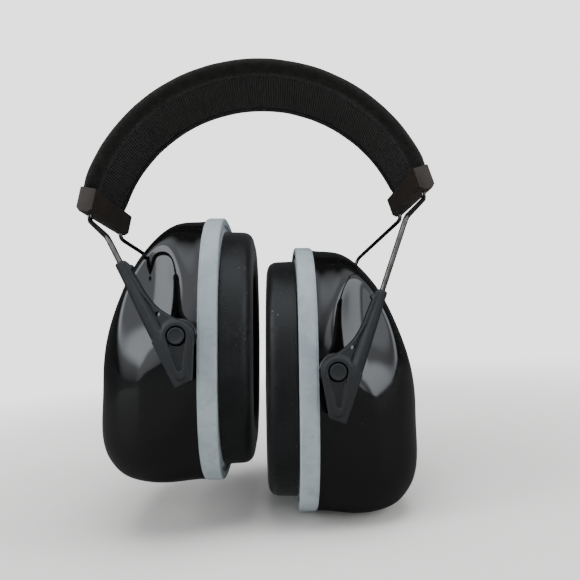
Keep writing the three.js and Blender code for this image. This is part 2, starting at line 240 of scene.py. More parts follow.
def grid_corners(rows, columns, wrap_rows):
    """The four (row, column) corners of each cell of a grid, before wrapping."""
    i = np.arange(rows if wrap_rows else rows - 1)
    i, j = np.meshgrid(i, np.arange(columns), indexing="ij")
    corners_i = np.stack([i, i, i + 1, i + 1], -1).reshape(-1, 4)
    corners_j = np.stack([j, j + 1, j + 1, j], -1).reshape(-1, 4)
    return corners_i, corners_j


def grid_mesh(points, matrix, wrap_rows=False, uv=None):
    """A mesh from a (rows, columns, 3) grid, whose columns run round and close on themselves.
    Open rows are closed with one face at each end."""
    rows, columns = points.shape[:2]
    corners_i, corners_j = grid_corners(rows, columns, wrap_rows)
    faces = ((corners_i % rows) * columns + corners_j % columns).tolist()
    cells = len(faces)
    if not wrap_rows:
        faces.append(list(range(columns)))
        faces.append(list(range((rows - 1) * columns, rows * columns)))
    flat = points.reshape(-1, 3)
    turn = np.array(matrix.to_3x3())
    placed = flat @ turn.T + np.array(matrix.translation)
    mesh = bpy.data.meshes.new("grid")
    mesh.from_pydata(placed.tolist(), [], faces)
    if uv is not None:
        along, across = uv
        layer = mesh.uv_layers.new(name="surface")
        cell_uv = np.stack([along[corners_i], across[corners_j]], -1).reshape(-1)
        values = np.zeros(len(mesh.loops) * 2, np.float32)
        values[: cells * 8] = cell_uv
        layer.data.foreach_set("uv", values)
    return mesh


def clean_mesh(mesh, sharp_degrees):
    """Welds poles, faces everything outwards, and smooths all but the sharp edges."""
    work = bmesh.new()
    work.from_mesh(mesh)
    bmesh.ops.remove_doubles(work, verts=work.verts, dist=WELD_DISTANCE)
    bmesh.ops.dissolve_degenerate(work, edges=work.edges, dist=WELD_DISTANCE / 10)
    bmesh.ops.recalc_face_normals(work, faces=work.faces)
    work.to_mesh(mesh)
    work.free()
    mesh.shade_smooth()
    mesh.set_sharp_from_angle(angle=math.radians(sharp_degrees))


def outward(mesh):
    """The mesh, with its faces turned outwards."""
    work = bmesh.new()
    work.from_mesh(mesh)
    bmesh.ops.recalc_face_normals(work, faces=work.faces)
    work.to_mesh(mesh)
    work.free()
    return mesh


def linked(name, data):
    """A new object in the scene."""
    made = bpy.data.objects.new(name, data)
    bpy.context.scene.collection.objects.link(made)
    return made


def joined(meshes):
    """One mesh that holds copies of several."""
    work = bmesh.new()
    for mesh in meshes:
        work.from_mesh(mesh)
    whole = bpy.data.meshes.new("joined")
    work.to_mesh(whole)
    work.free()
    return whole


def modified(mesh, *settings):
    """A mesh after a stack of modifiers, each given as (type, {property: value})."""
    holder = linked("holder", mesh)
    for kind, values in settings:
        modifier = holder.modifiers.new(kind.lower(), kind)
        for key, value in values.items():
            setattr(modifier, key, value)
    graph = bpy.context.evaluated_depsgraph_get()
    result = bpy.data.meshes.new_from_object(holder.evaluated_get(graph))
    bpy.data.objects.remove(holder)
    return result


def catmull_rom(points, samples, after=None):
    """A smooth curve through the points, sampled evenly in their index, that ends as if bound
    for after."""
    points = np.asarray(points, float)
    before = 2 * points[0] - points[1]
    if after is None:
        after = 2 * points[-1] - points[-2]
    padded = np.concatenate([[before], points, [after]])
    place = np.linspace(0, len(points) - 1, samples)
    i = np.minimum(place.astype(int), len(points) - 2)
    t = (place - i)[:, None]
    a, b, c, d = (padded[i + k] for k in range(4))
    return 0.5 * (2 * b + (c - a) * t + (2 * a - 5 * b + 4 * c - d) * t**2 + (3 * b - a - 3 * c + d) * t**3)


def rounded_corners(points, trims, steps=10):
    """A polyline whose inner corners are replaced by short curves, each with its own trim."""
    points = [np.asarray(point, float) for point in points]
    path = [points[0]]
    for before, corner, after, trim in zip(points, points[1:], points[2:], trims):
        enter = corner + (before - corner) / np.linalg.norm(before - corner) * trim
        leave = corner + (after - corner) / np.linalg.norm(after - corner) * trim
        for t in np.linspace(0, 1, steps):
            path.append((1 - t) ** 2 * enter + 2 * t * (1 - t) * corner + t**2 * leave)
    path.append(points[-1])
    return np.array(path)


def rod_grid(path, radius, segments):
    """Circles round a path, carried along it without twisting."""
    tangents = np.gradient(path, axis=0)
    tangents /= np.linalg.norm(tangents, axis=1)[:, None]
    side = np.cross(tangents[0], (0.3, 0.5, 0.8))
    angles = np.linspace(0, 2 * math.pi, segments, endpoint=False)
    rows = []
    for point, tangent in zip(path, tangents):
        side = side - tangent * side.dot(tangent)
        side /= np.linalg.norm(side)
        other = np.cross(tangent, side)
        circle = np.outer(np.cos(angles), side) + np.outer(np.sin(angles), other)
        rows.append(point + radius * circle)
    return np.array(rows)


def lathe_grid(profile, segments):
    """A profile of (radius, y) points turned about the Y axis."""
    profile = np.asarray(profile, float)
    angles = np.linspace(0, 2 * math.pi, segments, endpoint=False)
    rows = []
    for radius, y in profile:
        rows.append(np.stack([radius * np.cos(angles), np.full(segments, y), radius * np.sin(angles)], -1))
    return np.array(rows)


def oval_term(value, power=OVAL_POWER):
    """A sine or cosine reshaped, so that a circle becomes a squarer oval as the power grows."""
    return np.sign(value) * np.abs(value) ** (2 / power)


def even_oval(oval, segments):
    """Unit (across, up) factors of an oval, spaced evenly along its edge."""
    half_height, half_width = oval
    fine = np.linspace(0, 2 * math.pi, 20001)
    across, up = oval_term(np.sin(fine)), oval_term(np.cos(fine))
    steps = np.hypot(np.diff(half_width * across), np.diff(half_height * up))
    length = np.concatenate([[0], np.cumsum(steps)])
    angles = np.interp(np.linspace(0, length[-1], segments, endpoint=False), length, fine)
    return oval_term(np.sin(angles)), oval_term(np.cos(angles))


def oval_ring_grid(profile, oval, segments):
    """A closed profile of (x, inset) points carried round an oval of (half height, half width)."""
    half_height, half_width = oval
    across, up = even_oval(oval, segments)
    rows = []
    for x, inset in profile:
        row = [np.full(segments, x), (half_width - inset) * across, (half_height - inset) * up]
        rows.append(np.stack(row, -1))
    return np.array(rows)


def rounded_outline(corners, steps=6):
    """A closed outline of (x, y, corner radius) points, with each corner rounded."""
    outline = []
    count = len(corners)
    for i, (x, y, radius) in enumerate(corners):
        corner = np.array((x, y), float)
        before = np.array(corners[i - 1][:2], float) - corner
        after = np.array(corners[(i + 1) % count][:2], float) - corner
        enter = corner + before / np.linalg.norm(before) * radius
        leave = corner + after / np.linalg.norm(after) * radius
        for t in np.linspace(0, 1, steps):
            outline.append((1 - t) ** 2 * enter + 2 * t * (1 - t) * corner + t**2 * leave)
    return np.array(outline)


# ---------------------------------------------------------------- materials


class Nodes:
    """A node tree being built. Sockets and plain values can both be inputs."""

    def __init__(self, tree):
        self.tree = tree

    def node(self, kind, inputs, output=0, **settings):
        made = self.tree.nodes.new(kind)
        for key, value in settings.items():
            setattr(made, key, value)
        for key, value in inputs.items():
            self.feed(made.inputs[key], value)
        return made.outputs[output]

    def feed(self, socket, value):
        if isinstance(value, bpy.types.NodeSocket):
            self.tree.links.new(value, socket)
        else:
            socket.default_value = value

    def math(self, operation, a, b=0.0):
        return self.node("ShaderNodeMath", {0: a, 1: b}, operation=operation)

    def plus(self, a, b):
        return self.math("ADD", a, b)

    def times(self, a, b):
        return self.math("MULTIPLY", a, b)

    def dot(self, a, b):
        return self.node("ShaderNodeVectorMath", {0: a, 1: b}, "Value", operation="DOT_PRODUCT")

    def ramp(self, value, low, high, to_low=0.0, to_high=1.0):
        inputs = {"Value": value, "From Min": low, "From Max": high, "To Min": to_low, "To Max": to_high}
        return self.node("ShaderNodeMapRange", inputs, interpolation_type="SMOOTHSTEP")

    def seen_by(self, ray):
        """1 on one kind of ray, such as Camera, and 0 on the others."""
        return self.node("ShaderNodeLightPath", {}, f"Is {ray} Ray")


class Finish(Nodes):
    """A material, and a slot name that is stored with it but not used."""

    def __init__(self, name, slot=None):
        self.material = bpy.data.materials.new(name)
        self.material.use_nodes = True
        super().__init__(self.material.node_tree)
        self.slot = slot or name
        self.shader = next(node for node in self.tree.nodes if node.type == "BSDF_PRINCIPLED")
        self.place = self.scaled(self.node("ShaderNodeTexCoord", {}, "Object"), 1 / MM)

    def set(self, **inputs):
        """Feeds the shader: underscores stand for the spaces in its sockets' names."""
        for key, value in inputs.items():
            self.feed(self.shader.inputs[key.replace("_", " ")], value)

    def scaled(self, vector, factor):
        if not isinstance(factor, tuple):
            factor = (factor,) * 3
        return self.node("ShaderNodeVectorMath", {0: vector, 1: factor}, operation="MULTIPLY")

    def noise(self, scale, detail=2.0, roughness=0.5, vector=None, distortion=0.0):
        inputs = {"Vector": vector or self.place, "Scale": scale, "Detail": detail}
        inputs.update({"Roughness": roughness, "Distortion": distortion})
        return self.node("ShaderNodeTexNoise", inputs)

    def cells(self, scale, feature="F1", vector=None):
        inputs = {"Vector": vector or self.place, "Scale": scale}
        return self.node("ShaderNodeTexVoronoi", inputs, "Distance", feature=feature)

    def mix(self, factor, a, b):
        mixed = self.tree.nodes.new("ShaderNodeMix")
        mixed.data_type = "RGBA"
        for socket, value in zip((mixed.inputs[0], mixed.inputs[6], mixed.inputs[7]), (factor, a, b)):
            self.feed(socket, value)
        return mixed.outputs[2]

    def bump(self, height, depth, normal=None):
        inputs = {"Height": height, "Strength": 1.0, "Distance": depth * MM}
        if normal is not None:
            inputs["Normal"] = normal
        return self.node("ShaderNodeBump", inputs)

    def edges(self):
        """How far the surface turns within a small radius: about 0 on flats, 1 on tight edges."""
        soft = self.node("ShaderNodeBevel", {"Radius": RUBBED_RADIUS * MM}, samples=4)
        hard = self.node("ShaderNodeNewGeometry", {}, "Normal")
        return self.ramp(self.dot(soft, hard), 0.98, 0.80)


def rgb(red, green, blue):
    """A colour from 0 to 255 sRGB values, in Blender's linear light."""
    linear = [(value / 255 / 12.92) if value <= 10 else ((value / 255 + 0.055) / 1.055) ** 2.4
              for value in (red, green, blue)]
    return (*linear, 1.0)


def surface_uv(finish):
    return finish.node("ShaderNodeUVMap", {}, uv_map="surface")


def woven_height(finish, uv, pitch):
    """A plain weave: crossing threads that pass over and under each other."""
    split = [finish.node("ShaderNodeSeparateXYZ", {0: uv}, output=axis) for axis in ("X", "Y")]
    u, v = (finish.times(place, math.pi / pitch) for place in split)
    warp = finish.math("ABSOLUTE", finish.math("SINE", u))
    weft = finish.math("ABSOLUTE", finish.math("SINE", v))
    half_u, half_v = finish.times(u, 0.5), finish.times(v, 0.5)
    over = finish.times(finish.math("SINE", half_u), finish.math("SINE", half_v))
    side = finish.ramp(over, -0.15, 0.15)
    return finish.plus(finish.times(warp, side), finish.times(weft, finish.math("SUBTRACT", 1.0, side)))


def fabric_finish(name, dark, light, pitch, depth):
    """Woven cloth, a little mottled, with fuzz and specks of lint."""
    finish = Finish(name, "band_fabric")
    uv = surface_uv(finish)
    weave = woven_height(finish, uv, pitch)
    mottle = finish.noise(0.35, 4.0, 0.65)
    fuzz = finish.noise(3.2, 3.0, 0.7)
    shade = finish.plus(finish.times(weave, 0.35), finish.times(mottle, 0.75))
    lint = finish.ramp(finish.cells(0.55), 0.10, 0.04)
    colour = finish.mix(finish.ramp(shade, 0.25, 0.95), dark, light)
    colour = finish.mix(finish.times(lint, 0.12), colour, rgb(120, 120, 118))
    finish.set(Base_Color=colour, Roughness=0.93, Sheen_Weight=0.16, Sheen_Roughness=0.45)
    finish.set(Sheen_Tint=rgb(165, 165, 160), Specular_IOR_Level=0.15)
    height = finish.plus(finish.times(weave, 0.8), finish.times(fuzz, 0.6))
    finish.set(Normal=finish.bump(height, depth))
    return finish


def band_mesh():
    """The comfort pad's ribbed spacer mesh: small open cells along every rib, with painted shade in the grooves
    between the ribs.
    """
    finish = Finish("band_mesh")
    uv = surface_uv(finish)
    stretched = finish.scaled(uv, (1.6, 1.0, 1.0))
    holes = finish.ramp(finish.cells(0.95, vector=stretched), 0.16, 0.42)
    mottle = finish.noise(0.18, 3.0, 0.6)
    phase = finish.times(finish.node("ShaderNodeSeparateXYZ", {0: uv}), math.pi / RIB_PITCH)
    # Painted shade: the colour is darkened in the grooves between the ribs, standing in for the shade that falls
    # there.
    rib_groove_shade = finish.ramp(finish.math("ABSOLUTE", finish.math("COSINE", phase)), 0.15, 0.65)
    colour = finish.mix(finish.times(holes, rib_groove_shade), rgb(3, 3, 3), rgb(46, 46, 45))
    colour = finish.mix(finish.times(mottle, 0.3), colour, rgb(15, 15, 14))
    finish.set(Base_Color=colour, Roughness=0.9, Sheen_Weight=0.1, Sheen_Roughness=0.4)
    finish.set(Sheen_Tint=rgb(150, 150, 150), Specular_IOR_Level=0.2)
    finish.set(Normal=finish.bump(finish.plus(holes, finish.noise(4.0, 2.0)), 0.14))
    return finish


def foam_finish():
    finish = Finish("open_cell_foam")
    pores = finish.ramp(finish.cells(1.1), 0.12, 0.5)
    blotch = finish.noise(0.12, 3.0)
    colour = finish.mix(pores, rgb(10, 10, 11), rgb(48, 48, 50))
    colour = finish.mix(finish.times(blotch, 0.4), colour, rgb(30, 30, 31))
    finish.set(Base_Color=colour, Roughness=1.0, Specular_IOR_Level=0.1, Sheen_Weight=0.1)
    finish.set(Normal=finish.bump(pores, 0.35))
    return finish


def steel_finish():
    """Drawn spring wire: bright, with fine streaks along its length and a few darker stains."""
    finish = Finish("spring_steel")
    streaks = finish.noise(1.0, 3.0, 0.6, vector=finish.scaled(surface_uv(finish), (0.08, 6.0, 1.0)))
    stain = finish.noise(0.22, 4.0, 0.6)
    colour = finish.mix(finish.ramp(stain, 0.4, 0.7), rgb(122, 120, 116), rgb(92, 90, 86))
    finish.set(Base_Color=colour, Metallic=1.0)
    finish.set(Roughness=finish.ramp(streaks, 0.3, 0.75, 0.2, 0.32))
    return finish


def moulded_finish(name, colour, worn, roughness, grain, grain_depth, wear=0.5, scratches=0.3):
    """Moulded plastic: spark-eroded grain, handling scratches, and edges rubbed lighter."""
    finish = Finish(name)
    fine = finish.noise(grain, 3.0, 0.6)
    cloud = finish.noise(0.09, 3.0, 0.6)
    streak_place = finish.scaled(finish.place, (1.0, 1.0, 0.07))
    streaks = finish.ramp(finish.noise(1.9, 4.0, 0.65, vector=streak_place, distortion=0.6), 0.63, 0.72)
    rubbed = finish.times(finish.edges(), finish.ramp(finish.noise(0.5, 3.0), 0.35, 0.65))
    darker = (*(0.86 * value for value in colour[:3]), 1.0)
    base = finish.mix(finish.ramp(cloud, 0.3, 0.7), colour, darker)
    base = finish.mix(finish.times(rubbed, wear), base, worn)
    base = finish.mix(finish.times(streaks, scratches * 0.4), base, worn)
    gloss = finish.ramp(cloud, 0.3, 0.7, roughness - 0.05, roughness + 0.06)
    gloss = finish.plus(gloss, finish.times(streaks, -0.08))
    finish.set(Base_Color=base, Roughness=gloss, Specular_IOR_Level=0.5)
    rough_normal = finish.bump(fine, grain_depth)
    finish.set(Normal=finish.bump(streaks, -0.01, rough_normal))
    return finish


def ring_finish():
    """Light satin plastic: faint marbled clouding, hairline scratches and a little grime."""
    finish = Finish("ring_plastic")
    cloud = finish.noise(0.07, 4.0, 0.6, distortion=0.8)
    marbling = finish.ramp(finish.noise(0.16, 5.0, 0.65, distortion=1.4), 0.46, 0.56)
    hair_place = finish.scaled(finish.place, (0.5, 0.5, 0.09))
    hairs = finish.ramp(finish.noise(1.6, 5.0, 0.7, vector=hair_place, distortion=1.2), 0.66, 0.70)
    grime = finish.times(finish.ramp(finish.noise(0.4, 4.0, 0.7), 0.58, 0.78), 0.35)
    colour = finish.mix(finish.ramp(cloud, 0.3, 0.7), rgb(128, 139, 145), rgb(140, 151, 156))
    colour = finish.mix(finish.times(marbling, 0.25), colour, rgb(156, 166, 170))
    colour = finish.mix(finish.times(hairs, 0.45), colour, rgb(120, 128, 132))
    colour = finish.mix(grime, colour, rgb(140, 146, 147))
    finish.set(Base_Color=colour, Roughness=finish.ramp(cloud, 0.3, 0.7, 0.36, 0.48), Specular_IOR_Level=0.45)
    finish.set(Subsurface_Weight=0.06, Subsurface_Radius=(0.002, 0.002, 0.002))
    finish.set(Normal=finish.bump(finish.plus(finish.noise(1.6, 3.0), hairs), 0.014))
    return finish


def shell_finish():
    """Gloss black moulding: a clear top coat, slightly wavy, with dust specks and fine swirls."""
    finish = Finish("shell_plastic")
    wave = finish.noise(0.045, 2.0, 0.4)
    swirl_place = finish.scaled(finish.place, (0.6, 0.6, 0.16))
    swirls = finish.ramp(finish.noise(1.3, 5.0, 0.7, vector=swirl_place, distortion=1.5), 0.60, 0.72)
    dust = finish.ramp(finish.cells(0.42), 0.045, 0.020)
    haze = finish.noise(0.06, 4.0, 0.6)
    finish.set(Base_Color=finish.mix(dust, rgb(9, 9, 9), rgb(120, 118, 112)))
    swirled = finish.times(swirls, 0.05)
    gloss = finish.plus(finish.ramp(haze, 0.35, 0.7, 0.05, 0.11), swirled)
    finish.set(Roughness=finish.plus(gloss, finish.times(dust, 0.5)))
    finish.set(Specular_IOR_Level=0.55, Coat_Weight=0.35, Coat_Roughness=0.03)
    finish.set(Normal=finish.bump(wave, 0.10))
    return finish


def cushion_finish():
    """Soft black synthetic leather: fine pebbled grain, satin, with faint handling creases."""
    finish = Finish("cushion_skin")
    pebble = finish.cells(2.6, "SMOOTH_F1")
    crease_place = finish.scaled(finish.place, (0.8, 0.8, 0.25))
    creases = finish.ramp(finish.noise(0.5, 4.0, 0.6, vector=crease_place, distortion=1.0), 0.56, 0.66)
    cloud = finish.noise(0.08, 3.0)
    lint = finish.ramp(finish.cells(0.30), 0.055, 0.025)
    colour = finish.mix(finish.ramp(cloud, 0.3, 0.7), rgb(12, 13, 14), rgb(18, 20, 21))
    colour = finish.mix(finish.times(lint, 0.7), colour, rgb(150, 150, 148))
    finish.set(Base_Color=colour, Specular_IOR_Level=0.45)
    finish.set(Roughness=finish.ramp(cloud, 0.3, 0.7, 0.33, 0.40))
    finish.set(Sheen_Weight=0.08, Sheen_Roughness=0.4)
    grain = finish.bump(pebble, 0.05)
    finish.set(Normal=finish.bump(creases, 0.06, grain))
    return finish


FINISHES = {
    "fabric": fabric_finish("band_fabric", rgb(10, 10, 10), rgb(31, 31, 30), pitch=0.62, depth=0.16),
    "mesh": band_mesh(),
    "welt": fabric_finish("welt_fabric", rgb(20, 21, 21), rgb(46, 48, 48), pitch=0.4, depth=0.10),
    "foam": foam_finish(),
    "steel": steel_finish(),
    "cap": moulded_finish("cap_plastic", rgb(40, 34, 30), rgb(84, 82, 80), 0.32, 2.2, 0.02, 0.45, 0.6),
    "arm": moulded_finish("arm_plastic", rgb(29, 31, 33), rgb(62, 65, 67), 0.5, 3.2, 0.05, wear=0.35),
    "pin": moulded_finish("pin_plastic", rgb(27, 29, 31), rgb(84, 86, 87), 0.45, 3.0, 0.03, wear=0.7),
    "plate": moulded_finish("plate_plastic", rgb(36, 38, 40), rgb(70, 72, 74), 0.5, 2.5, 0.03),
    "ring": ring_finish(),
    "shell": shell_finish(),
    "cushion": cushion_finish(),
}


def finished_piece(name, mesh, finish_name, sharp_degrees=40):
    finish = FINISHES[finish_name]
    clean_mesh(mesh, sharp_degrees)
    mesh.name = name
    mesh.materials.clear()
    mesh.materials.append(finish.material)
    made = linked(name, mesh)
    return made


def riding_piece(side, name, mesh, finish_name, body, *nodes, sharp_degrees=40):
    """A piece of one side that moves with one of its bodies and stands for some of its CAD nodes."""
    made = finished_piece(f"{side.name}_{name}", mesh, finish_name, sharp_degrees)
    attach(made, f"{side.name}_{body}")
    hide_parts(*(f"{side.name}_{node}" for node in nodes))


# ---------------------------------------------------------------- headband


def on_arc(angles, section, matrix, undulation=0.0):
    """Carries a section of (y, radius) points round the band's arc, from its crown outwards."""
    y, radius = np.moveaxis(np.asarray(section, float), -1, 0)
    shape = (len(angles), y.shape[-1])
    y, radius = np.broadcast_to(y, shape), np.broadcast_to(radius, shape)
    if undulation:
        turn = np.array(matrix.to_3x3().normalized())
        radius = radius.copy()
        for i, angle in enumerate(angles):
            for j in range(shape[1]):
                place = turn @ (radius[i, j] * math.sin(angle), y[i, j], radius[i, j] * math.cos(angle))
                radius[i, j] += undulation * noise.noise(Vector(place) / 7)
    return np.stack([radius * np.sin(angles)[:, None], y, radius * np.cos(angles)[:, None]], -1)


def path_lengths(points, closed=False):
    """The length along a path at each of its points, and back at its start if it's closed."""
    points = np.asarray(points, float)
    if closed:
        points = np.concatenate([points, points[:1]])
    steps = np.linalg.norm(np.diff(points, axis=0), axis=1)
    return np.concatenate([[0], np.cumsum(steps)])


def arc_piece(name, side, grid, finish_name, uv=None, in_cad=True, sharp_degrees=40):
    """Half of a band layer: it stands for the crown's node too, and runs across the flex hinge in one unjointed
    piece.
    """
    mesh = grid_mesh(grid, side.band_matrix(), uv=uv)
    made = finished_piece(f"{side.name}_{name}", mesh, finish_name, sharp_degrees)
    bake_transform(made)
    if in_cad:
        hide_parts(f"{name}_crown", f"{name}_{side.name}")


def cover_outer_path():
    """The sleeve's outside, from one lip over the top to the other."""
    (side_y, side_radius), (reach_y, reach_radius) = SIDE_BULGE
    angles = np.linspace(-math.pi / 2, math.pi / 2, 22)
    bulge = [(side_y + reach_y * math.cos(a), side_radius + reach_radius * math.sin(a)) for a in angles]
    lip = [(14.3, COVER_RECESS + 0.15), (14.9, COVER_RECESS), (15.15, 72.2), (15.6, 71.85)]
    right = lip + bulge
    left = [(-y, radius) for y, radius in right]
    crown = COVER_CROWN / 2
    top = [(y, COVER_OUTER - crown - crown * ((y / side_y) ** 2 - 1)) for y in np.linspace(-14.9, 14.9, 26)]
    return np.array(left + top + right[::-1])


def cover_section():
    """The sleeve's closed section: its outside, then back along its inside."""
    outside = cover_outer_path()
    along = np.gradient(outside, axis=0)
    along /= np.linalg.norm(along, axis=1)[:, None]
    inwards = np.stack([along[:, 1], -along[:, 0]], -1)
    return np.concatenate([outside, (outside + COVER_CLOTH * inwards)[::-1]])


def band_angles(step):
    """Even steps round half the arc, in millimetres on the pad's face."""
    return np.linspace(0, BAND_END_ANGLE, round(BAND_END_ANGLE * PAD_RADIUS / step))


def tapered(section, angles):
    """The section at every angle, pinched flatter where the end cap grips it."""
    grip = np.clip((angles - (BAND_END_ANGLE - GRIP_ANGLE)) / GRIP_ANGLE, 0, 1)
    squeeze = 1 - GRIP_SQUEEZE * grip * grip * (3 - 2 * grip)
    rows = np.repeat(section[None], len(angles), 0)
    rows[..., 1] = WIRE_ARC_RADIUS + (rows[..., 1] - WIRE_ARC_RADIUS) * squeeze[:, None]
    return rows


def band_cover(side):
    section = cover_section()
    angles = band_angles(0.5)
    uv = (angles * PAD_RADIUS, path_lengths(section, closed=True))
    grid = on_arc(angles, tapered(section, angles), side.band_matrix(), undulation=0.12)
    arc_piece("band_cover", side, grid, "fabric", uv, sharp_degrees=60)


def comfort_pad(side):
    """The ribbed pad on the band's inner face. Its ribs run from front to back."""
    face_columns, back_columns = 60, 12
    angles = band_angles(RIB_PITCH / 8)
    y = np.linspace(-PAD_HALF_WIDTH, PAD_HALF_WIDTH, face_columns)
    crown = PAD_CROWN * (1 - (y / PAD_HALF_WIDTH) ** 2)
    edge = np.clip((PAD_HALF_WIDTH - np.abs(y)) / 1.6, 0, 1)
    phase = angles * PAD_RADIUS * math.pi / RIB_PITCH
    rib = RIB_HEIGHT * (np.abs(np.cos(phase)) ** 0.7)[:, None] * edge[None] ** 0.5
    face_radius = PAD_RADIUS + 0.55 - crown[None] - rib + 0.9 * (1 - np.sqrt(1 - (1 - edge[None]) ** 2))
    section = np.zeros((len(angles), face_columns + back_columns, 2))
    face, back = section[:, :face_columns], section[:, face_columns:]
    face[..., 0], face[..., 1] = y, face_radius
    back[..., 0] = np.linspace(PAD_HALF_WIDTH, -PAD_HALF_WIDTH, back_columns)
    back[..., 1] = COVER_RECESS + 0.8
    uv = (angles * PAD_RADIUS, path_lengths(section[0], closed=True))
    grid = on_arc(angles, section, side.band_matrix(), undulation=0.15)
    arc_piece("comfort_pad", side, grid, "mesh", uv, sharp_degrees=70)


def band_foam(side):
    section = rounded_outline([(-16.4, 76.4, 1), (16.4, 76.4, 1), (16.4, 73.6, 1), (-16.4, 73.6, 1)])
    grid = on_arc(band_angles(1.5), section, side.band_matrix())
    arc_piece("band_foam", side, grid, "foam")


def welt(side, y_sign):
    """The twisted piping sewn along the edge of the comfort pad."""
    angles = band_angles(0.35)
    around = np.linspace(0, 2 * math.pi, 14, endpoint=False)
    along = (angles * PAD_RADIUS)[:, None]
    strands = WELT_RADIUS * (1 + 0.10 * np.cos(3 * around[None] - 2 * math.pi * along / WELT_TWIST))
    section = np.zeros((len(angles), 14, 2))
    section[..., 0] = y_sign * WELT_Y + strands * np.cos(around)
    section[..., 1] = WELT_ARC_RADIUS + strands * np.sin(around)
    grid = on_arc(angles, section, side.band_matrix())
    uv = (angles * PAD_RADIUS, np.linspace(0, 2 * math.pi * WELT_RADIUS, 15))
    arc_piece(f"band_piping_{side.end(y_sign)}", side, grid, "welt", uv, in_cad=False)


def spring_wire(side, y_sign):
    """One wire from the crown through the end cap to the end of its leg."""
    turns = np.linspace(0, LEG_ENTRY_ANGLE, 90)
    arc = np.stack([WIRE_ARC_RADIUS * np.sin(turns), 0 * turns, WIRE_ARC_RADIUS * np.cos(turns)], -1)
    arc[:, 1] = y_sign * WIRE_Y
    knee = np.array((WIRE_KNEE[0], y_sign * arm_plane(side), WIRE_KNEE[1]))
    leg = np.array((-math.sin(side.leg_angle), 0, -math.cos(side.leg_angle)))
    corners = [arc[-1], (WIRE_EXIT[0], y_sign * WIRE_Y, WIRE_EXIT[1]),
               (WIRE_SHOULDER[0], y_sign * WIRE_Y, WIRE_SHOULDER[1]), knee, knee + LEG_LENGTH * leg]
    path = np.concatenate([arc[:-1], rounded_corners(corners, WIRE_TRIMS)])
    grid = rod_grid(path, WIRE_RADIUS, segments=20)
    uv = (path_lengths(path), np.linspace(0, 2 * math.pi * WIRE_RADIUS, 21))
    arc_piece(f"spring_wire_{side.end(y_sign)}", side, grid, "steel", uv)


def arm_plane(side):
    """How far the slide arms and wire legs stand from the middle, front to back."""
    low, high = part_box(f"{side.name}_slide_arm_front")
    return abs(low.y + high.y) / 2 / MM


# ---------------------------------------------------------------- end caps


def outline_normals(outline):
    """Unit normals of a closed anticlockwise outline, pointing out."""
    along = np.roll(outline, -1, axis=0) - np.roll(outline, 1, axis=0)
    along /= np.linalg.norm(along, axis=1)[:, None]
    return np.stack([along[:, 1], -along[:, 0]], -1)


def prism_grid(outline, profile):
    """An (x, z) outline carried along Y, by (y, inset) points."""
    normals = outline_normals(outline)
    rows = []
    for y, inset in profile:
        ring = outline - inset * normals
        rows.append(np.stack([ring[:, 0], np.full(len(ring), y), ring[:, 1]], -1))
    return np.array(rows)


def eased_ends(half_length, radius, steps=6):
    """(place, inset) points from end to end of a bar, with a round at each end."""
    angles = np.linspace(math.pi / 2, 0, steps)
    first = [(-half_length + radius * (1 - math.sin(a)), radius * (1 - math.cos(a))) for a in angles]
    return first + [(-place, inset) for place, inset in reversed(first)]


def end_cap(side):
    half_x, half_z = CAP_RADIAL / 2, CAP_HEIGHT / 2
    half = [(half_x - CAP_CHAMFER, -half_z, 0.4), (half_x, CAP_CHAMFER - half_z, 0.4), (half_x, half_z, 0.5)]
    corners = [(-x, z, radius) for x, z, radius in reversed(half)] + half
    outline = rounded_outline(corners, steps=7)
    lean = Matrix.Rotation(-CAP_LEAN, 4, "Y")
    place = side.band_matrix() @ Matrix.Translation((CAP_CENTRE[0], 0, CAP_CENTRE[1])) @ lean
    parts = [grid_mesh(prism_grid(outline, eased_ends(CAP_WIDTH / 2, 0.45)), place)]
    for y_sign in (-1, 1):
        exit_point = np.array((WIRE_EXIT[0], y_sign * WIRE_Y, WIRE_EXIT[1]))
        down = np.array((WIRE_SHOULDER[0], y_sign * WIRE_Y, WIRE_SHOULDER[1])) - exit_point
        down /= np.linalg.norm(down)
        stops = [(-1.5, 2.2), (0.1, 2.2), (0.35, 2.1), (0.5, 1.85), (0.5, 1.15), (0.2, 1.05)]
        path = np.array([exit_point + down * place_along for place_along, _ in stops])
        parts.append(grid_mesh(collar_grid(path, down, [radius for _, radius in stops]), side.band_matrix()))
    riding_piece(side, "end_cap_block", joined(parts), "cap", "band", "end_cap")


def collar_grid(centres, direction, radii, segments=32):
    """Circles square to one direction."""
    across = np.cross(direction, (0, 1, 0))
    across /= np.linalg.norm(across)
    up = np.cross(direction, across)
    angles = np.linspace(0, 2 * math.pi, segments, endpoint=False)
    circle = np.outer(np.cos(angles), across) + np.outer(np.sin(angles), up)
    return np.array([centre + radius * circle for centre, radius in zip(centres, radii)])


# ---------------------------------------------------------------- slide arms and pins


def circle_points(x, z, radius, count=40):
    angles = np.linspace(0, 2 * math.pi, count, endpoint=False)
    return np.stack([x + radius * np.cos(angles), z + radius * np.sin(angles)], -1)


def hull(outlines, low_y, high_y):
    """The convex prism round some (x, z) points, from one place along Y to another."""
    flat = np.concatenate(outlines)
    work = bmesh.new()
    for y in (low_y, high_y):
        for x, z in flat:
            work.verts.new((x, y, z))
    bmesh.ops.convex_hull(work, input=work.verts)
    loose = [vert for vert in work.verts if not vert.link_faces]
    bmesh.ops.delete(work, geom=loose, context="VERTS")
    bmesh.ops.recalc_face_normals(work, faces=work.faces)
    mesh = bpy.data.meshes.new("hull")
    work.to_mesh(mesh)
    work.free()
    return mesh


def strip(edge, width, half_thickness):
    """A strip of the arm's plane beside an edge of (x, z) points. Width may vary along it."""
    edge = np.asarray(edge, float)
    width = np.broadcast_to(width, len(edge))
    rows = []
    for (x, z), wide in zip(edge, width):
        rows.append([(x, -half_thickness, z), (x + wide, -half_thickness, z),
                     (x + wide, half_thickness, z), (x, half_thickness, z)])
    return outward(grid_mesh(np.array(rows), Matrix.Identity(4)))


